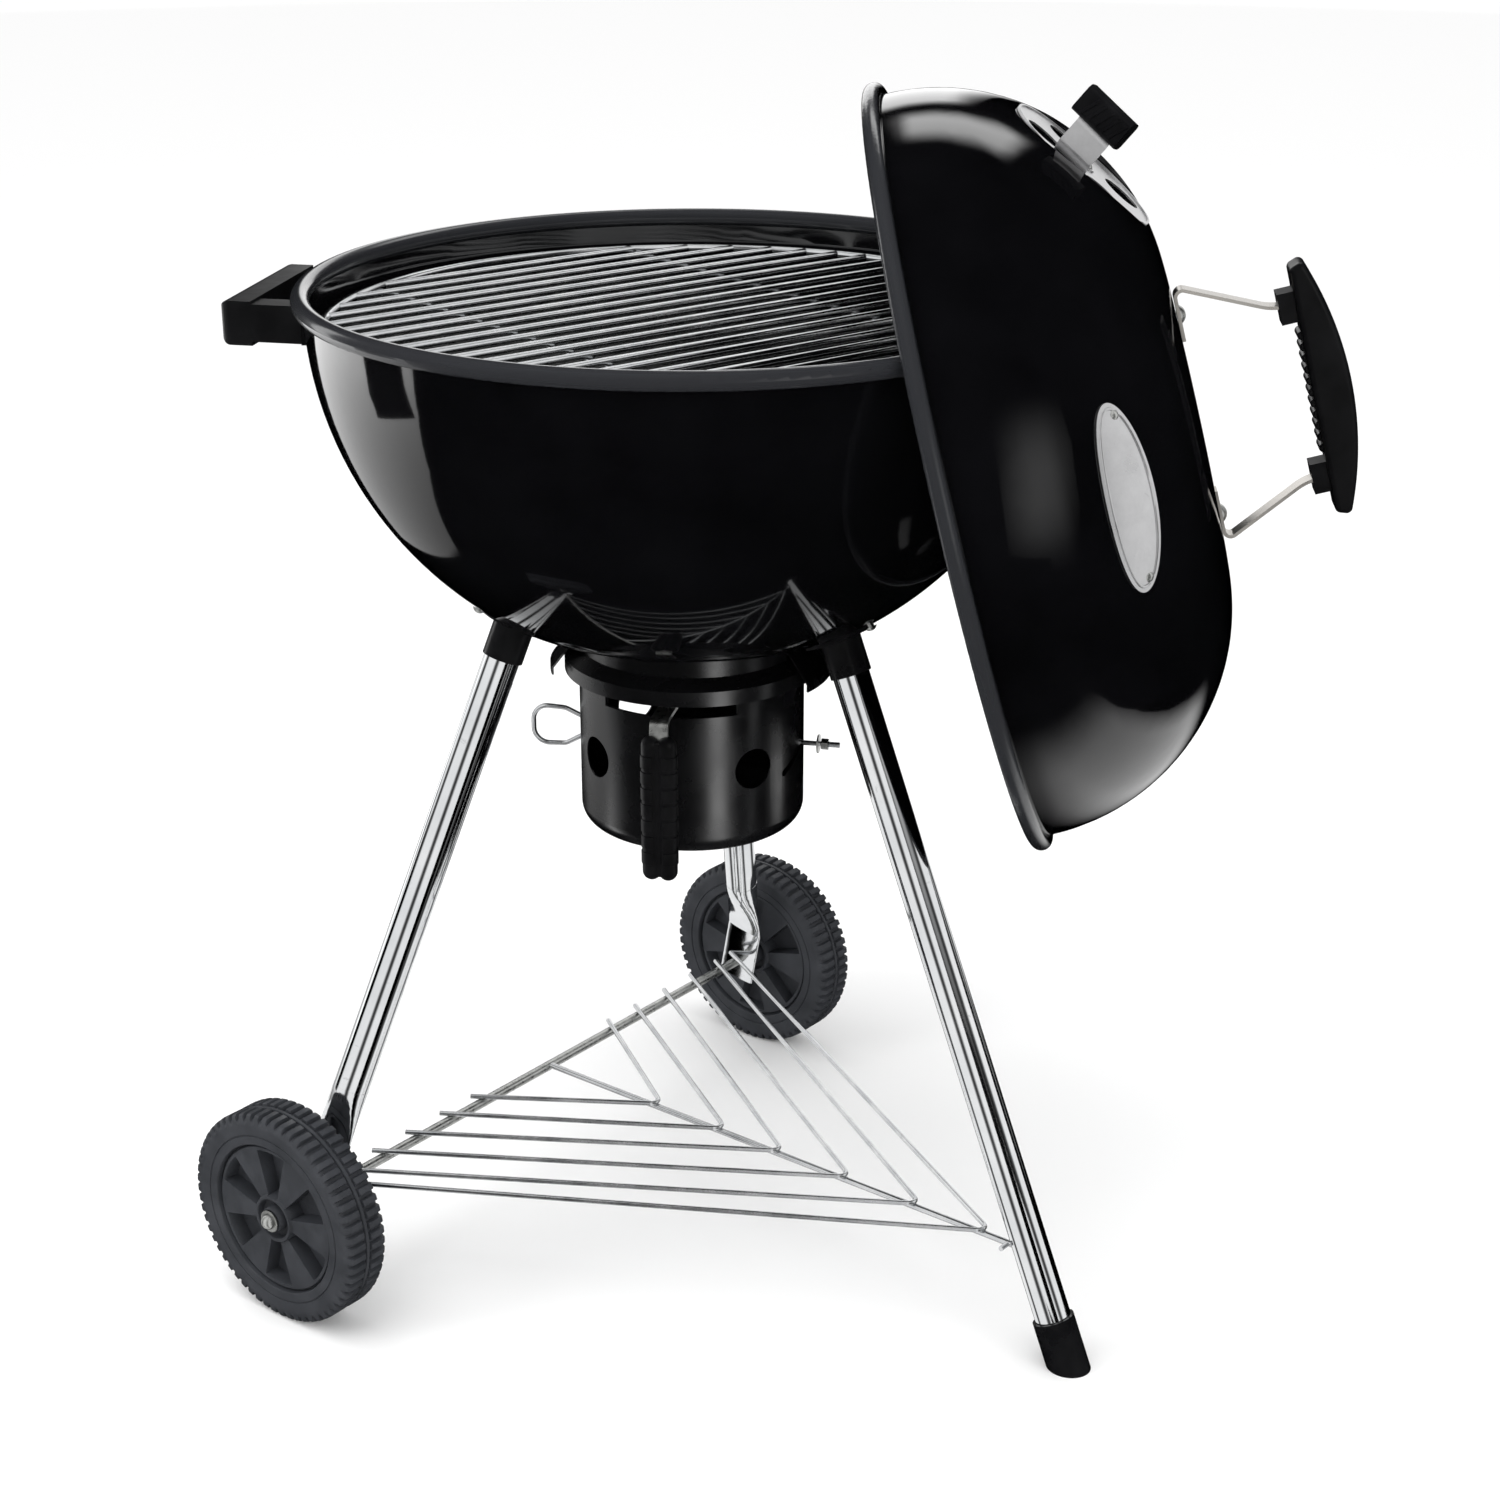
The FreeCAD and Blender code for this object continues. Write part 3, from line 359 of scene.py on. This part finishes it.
BAR_HALF, BAR_RISE = 1.3, 1.6
BAR_LOW, BAR_HIGH = 33, 48
bars = []
for offset in (-13, -6.5, 0, 6.5, 13):
    for face_y in (-58.2, -40.2):
        bars.append(bar(offset - BAR_HALF, offset + BAR_HALF, face_y, face_y + BAR_RISE,
                        BAR_LOW, BAR_HIGH, lean=5))
new_piece("damper_grip_bars", *gathered(bars), "damper", "black_plastic", damper_place, round_off=0.6)


# The plate's place on the dome: its turn and slope, and its distance from the axis and from the mouth in mm.
BADGE_TURN, BADGE_SLOPE = radians(4.7), radians(41.6)
BADGE_AWAY, BADGE_UP = 237.0, 125.2
BORDER_SIZE = (61.0, 18.6)      # half length and half width of the border's line
BORDER_HALF = 1.1
BORDER_RISE = 0.75
BORDER_STEPS = 160
ABOVE_PLATE = 0.08              # m, where the search for the plate's face starts


def badge_border():
    """Raised border that follows the plate's curved face, set in from its edge."""
    plate = frame["nodes"]["badge_plate"]
    corners = [v.co for v in plate.data.vertices]
    tree = BVHTree.FromPolygons(corners, [p.vertices for p in plate.data.polygons])
    away = LID_UP * sin(BADGE_TURN) + LID_FRONT * cos(BADGE_TURN)
    long_way = LID_FRONT * sin(BADGE_TURN) - LID_UP * cos(BADGE_TURN)
    out = away * cos(BADGE_SLOPE) + LID_OUT * sin(BADGE_SLOPE)
    centre = LID_MOUTH + (away * BADGE_AWAY + LID_OUT * BADGE_UP) * MM
    cross_way = out.cross(long_way)
    long_r, short_r = BORDER_SIZE
    rings = []
    for k in range(BORDER_STEPS):
        a = 2 * pi * k / BORDER_STEPS
        way = long_way * (cos(a) * long_r) + cross_way * (sin(a) * short_r)
        inward = (long_way * -cos(a) + cross_way * -sin(a) * 0.6).normalized()
        ring = []
        for m in range(8):
            b = 2 * pi * m / 8
            start = centre + way * MM + inward * (BORDER_HALF * cos(b) * MM) + out * ABOVE_PLATE
            spot = tree.ray_cast(start, -out)[0]
            ring.append((spot + out * (BORDER_RISE * sin(b) * MM)) / MM)
        rings.append(ring)
    new_piece("badge_border", *skin(rings, loop=True), "lid", "aluminium")


badge_border()

# ---- sweeper grip panels ----
grip_low, grip_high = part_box("sweeper_grip")
LOBE_OFF = 6.2
LOBE_R = 7.2
LOBE_Y = -113.0
PANELS = 7
FIRST_PANEL, PANEL_PITCH = 19, 12.8
PANEL_WAY = 52                  # degrees that a panel faces to the side


def panel(x, y, z, way, height=10.0, rise=0.75, spread=72):
    """Raised panel wrapped round the front of a lobe; way is the direction that it faces, in degrees."""
    outline = []
    turns = [radians(way - spread + 2 * spread * k / 14) for k in range(15)]
    for r, some in ((LOBE_R - 0.5, turns), (LOBE_R + rise, turns[::-1])):
        outline += [(x + r * cos(a), y + r * sin(a)) for a in some]
    return skin([[(px, py, level) for px, py in outline] for level in (z - height / 2, z + height / 2)])


panels = []
for k in range(PANELS):
    z = grip_low.z / MM + FIRST_PANEL + PANEL_PITCH * k
    for side in (-1, 1):
        panels.append(panel(side * LOBE_OFF, LOBE_Y, z, -90 + side * PANEL_WAY))
        panels.append(panel(side * LOBE_OFF, LOBE_Y, z, 90 - side * PANEL_WAY))
new_piece("sweeper_grip_panels", *gathered(panels), "sweeper", "black_plastic", round_off=0.35)

# ---- thread on the cross rod ----
THREAD_PITCH = 0.9
THREAD_LENGTH, THREAD_STOP = 14.5, 0.4
ROOT_R, CREST_R = 1.95, 2.45
THREAD_SIDES = 24
rod_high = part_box("cross_rod")[1].x / MM
rod_z = (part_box("cross_rod_nut")[0].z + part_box("cross_rod_nut")[1].z) / (2 * MM)
rings = []
turns = [2 * pi * k / THREAD_SIDES for k in range(THREAD_SIDES)]
x = rod_high - THREAD_LENGTH
while x < rod_high - THREAD_STOP:
    for shift, r in ((0, ROOT_R), (THREAD_PITCH / 2, CREST_R)):
        rings.append([(x + shift, r * cos(a), rod_z + r * sin(a)) for a in turns])
    x += THREAD_PITCH
new_piece("cross_rod_thread", *skin(rings), "ash_can", "chrome_wire")


# ---- studio ----
def sheet(name, corners, material):
    """A flat studio sheet with the given corners."""
    mesh = bpy.data.meshes.new(name)
    mesh.from_pydata(corners, [], [tuple(range(len(corners)))])
    mesh.materials.append(material)
    made = bpy.data.objects.new(name, mesh)
    bpy.context.scene.collection.objects.link(made)
    made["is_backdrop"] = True
    return made


def upright(width, height, centre, aim):
    """Corners of a sheet that faces aim."""
    w, h = width / 2, height / 2
    facing = (Vector(aim) - Vector(centre)).to_track_quat("Z", "Y").to_matrix().to_4x4()
    place = Matrix.Translation(centre) @ facing
    return [place @ Vector(corner) for corner in ((-w, -h, 0), (w, -h, 0), (w, h, 0), (-w, h, 0))]


def laid(*corners):
    """Corners of a card that lies just above the floor."""
    return [(x, y, 0.02) for x, y in corners]


def glowing(name, level_of):
    """A material that only gives light; level_of(tree) returns its strength."""
    material = bpy.data.materials.new(name)
    material.use_nodes = True
    tree = material.node_tree
    tree.nodes.remove(tree.nodes["Principled BSDF"])
    light = add(tree, "Emission", {"Strength": level_of(tree)})
    tree.links.new(light.outputs[0], tree.nodes["Material Output"].inputs["Surface"])
    return material


def only_mirrored(obj):
    """Seen in polished surfaces, but not by the camera, and it lights nothing else."""
    obj.visible_camera = False
    obj.visible_diffuse = False
    obj.visible_shadow = False


def reflector(name, corners, strength, ends=(1, 1), soft=(0.2, 0.2), axes="XZ", seen_by=None):
    """A softbox seen in polished pieces, or only in those of seen_by.

    axes names the studio axes that its width and height run along. ends is its level at its two sides,
    and soft is the share of its width and height that fades.
    """
    def level_of(tree):
        place = add(tree, "SeparateXYZ", {"Vector": add(tree, "TexCoord").outputs["Generated"]})
        fade = {"Value": place.outputs[axes[0]], "To Min": strength * ends[0], "To Max": strength * ends[1]}
        level = add(tree, "MapRange", fade).outputs["Result"]
        for axis, share in zip(axes, soft):
            for start, end in ((0.0, share), (1.0, 1 - share)):
                edge = {"Value": place.outputs[axis], "From Min": start, "From Max": end}
                rise = add(tree, "MapRange", edge, interpolation_type="SMOOTHSTEP").outputs["Result"]
                level = add(tree, "Math", {0: level, 1: rise}, operation="MULTIPLY").outputs[0]
        return level

    card = sheet(name, corners, glowing(name, level_of))
    only_mirrored(card)
    if seen_by:
        group = bpy.data.collections.new(name + "_pieces")
        for node in seen_by:
            group.objects.link(frame["nodes"][node])
        card.light_linking.receiver_collection = group


def lamp(name, centre, aim, size, watts):
    data = bpy.data.lights.new(name, "AREA")
    data.shape = "DISK"
    data.size = size
    data.energy = watts
    light = bpy.data.objects.new(name, data)
    bpy.context.scene.collection.objects.link(light)
    light.location = centre
    light.rotation_euler = (Vector(aim) - Vector(centre)).to_track_quat("-Z", "Y").to_euler()
    light.visible_glossy = False


BARS = 5                        # bright bars round the metal, with dark gaps between


def bright_bars(tree):
    place = add(tree, "SeparateXYZ", {"Vector": add(tree, "TexCoord").outputs["Object"]})
    turn = add(tree, "Math", {0: place.outputs["Y"], 1: place.outputs["X"]}, operation="ARCTAN2")
    phase = add(tree, "Math", {0: turn.outputs[0], 1: float(BARS), 2: 0.9}, operation="MULTIPLY_ADD")
    wave = add(tree, "Math", {0: phase.outputs[0]}, operation="SINE")
    return add(tree, "MapRange", {"Value": wave.outputs[0], "From Min": -0.95, "From Max": -0.35,
                                  "To Min": 0.06, "To Max": 1.15}).outputs["Result"]


def surround():
    """A great ball that only bare metal mirrors, so that tubes and wires show bright bars."""
    mesh = bpy.data.meshes.new("metal_surround")
    ball = bmesh.new()
    bmesh.ops.create_uvsphere(ball, u_segments=64, v_segments=32, radius=9)
    ball.to_mesh(mesh)
    ball.free()
    mesh.materials.append(glowing("metal_surround", bright_bars))
    obj = bpy.data.objects.new("metal_surround", mesh)
    bpy.context.scene.collection.objects.link(obj)
    only_mirrored(obj)
    obj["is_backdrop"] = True
    metals = bpy.data.collections.new("bare_metal")
    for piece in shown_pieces():
        if any(m in (tube_chrome, wire_chrome, zinc, stainless, aluminium) for m in piece.data.materials):
            metals.objects.link(piece)
    obj.light_linking.receiver_collection = metals


surround()

floor_paint = bpy.data.materials.new("pale_floor")
floor_paint.use_nodes = True
floor_paint.node_tree.nodes["Principled BSDF"].inputs["Base Color"].default_value = linear("#FDFDFD")
floor_paint.node_tree.nodes["Principled BSDF"].inputs["Roughness"].default_value = 0.9
floor = sheet("floor", [(-30, -30, 0), (30, -30, 0), (30, 30, 0), (-30, 30, 0)], floor_paint)
floor.visible_glossy = False

# Two cards on the floor: one shows in the bowl's left side, the other under the lid's dome.
reflector("low_left_card", laid((-3.2, -1.1), (-1.67, -0.57), (-1.07, -0.29), (-0.64, 0.05), (-0.84, 0.84),
                                (-1.28, 1.11), (-3.0, 2.4)), 2.6, (1, 0.1), (0.02, 0.1), "XY")
reflector("low_right_card", laid((0.32, -0.40), (0.85, -0.40), (0.95, 0.90), (0.32, 0.90)), 0.8,
          soft=(0.3, 0.25), axes="XY", seen_by=("lid",))
reflector("front_right_box", upright(1.1, 1.6, (1.35, -1.35, 1.05), (0.3, 0, 0.65)), 0.6, soft=(0.5, 0.45))
reflector("overhead_box", upright(1.1, 0.8, (0.15, 1.3, 2.1), (0.15, 0, 0.8)), 2.0, soft=(0.2, 0.4), axes="XY")
reflector("left_box", upright(0.5, 1.6, (-2.0, 0.6, 1.0), (0, 0, 0.5)), 2.0, soft=(0.3, 0.2), axes="YZ")
reflector("back_box", upright(1.4, 1.6, (-0.6, 2.6, 1.4), (0, 0, 0.6)), 1.6)
# Tall strips that give the can and its collar their upright highlights.
STRIP_AWAY, STRIP_Z = 1.6, -0.2
for turn, level, axes in ((188, 4.0, "YZ"), (308, 5.0, "XZ"), (18, 3.0, "YZ")):
    spot = (STRIP_AWAY * cos(radians(turn)), STRIP_AWAY * sin(radians(turn)), STRIP_Z)
    reflector(f"can_strip_{turn}", upright(0.55, 1.4, spot, (0, 0, 0.4)), level, soft=(0.5, 0.1), axes=axes,
              seen_by=("ash_can", "collar"))

lamp("overhead_lamp", (-0.4, -0.6, 2.8), (0, 0, 0.3), 2.4, 30)
lamp("left_lamp", (-2.4, -1.6, 1.8), (0, 0, 0.4), 1.4, 20)
lamp("right_lamp", (2.4, -1.4, 1.8), (0.2, 0, 0.4), 1.4, 12)

world = bpy.data.worlds.new("studio")
bpy.context.scene.world = world
world.use_nodes = True
world.node_tree.nodes["Background"].inputs["Color"].default_value = linear("#FFFFFF")
world.node_tree.nodes["Background"].inputs["Strength"].default_value = 1.05
bpy.context.scene.view_settings.view_transform = "Standard"

# ---- camera ----
camera_data = bpy.data.cameras.new("camera")
camera_data.lens = 66.25
camera_data.sensor_width = 36
camera = bpy.data.objects.new("camera", camera_data)
bpy.context.scene.collection.objects.link(camera)
camera.location = (0.4435, -1.9610, 1.2060)
camera.rotation_euler = (radians(90 - 21.46), 0, radians(11.46))
bpy.context.scene.camera = camera
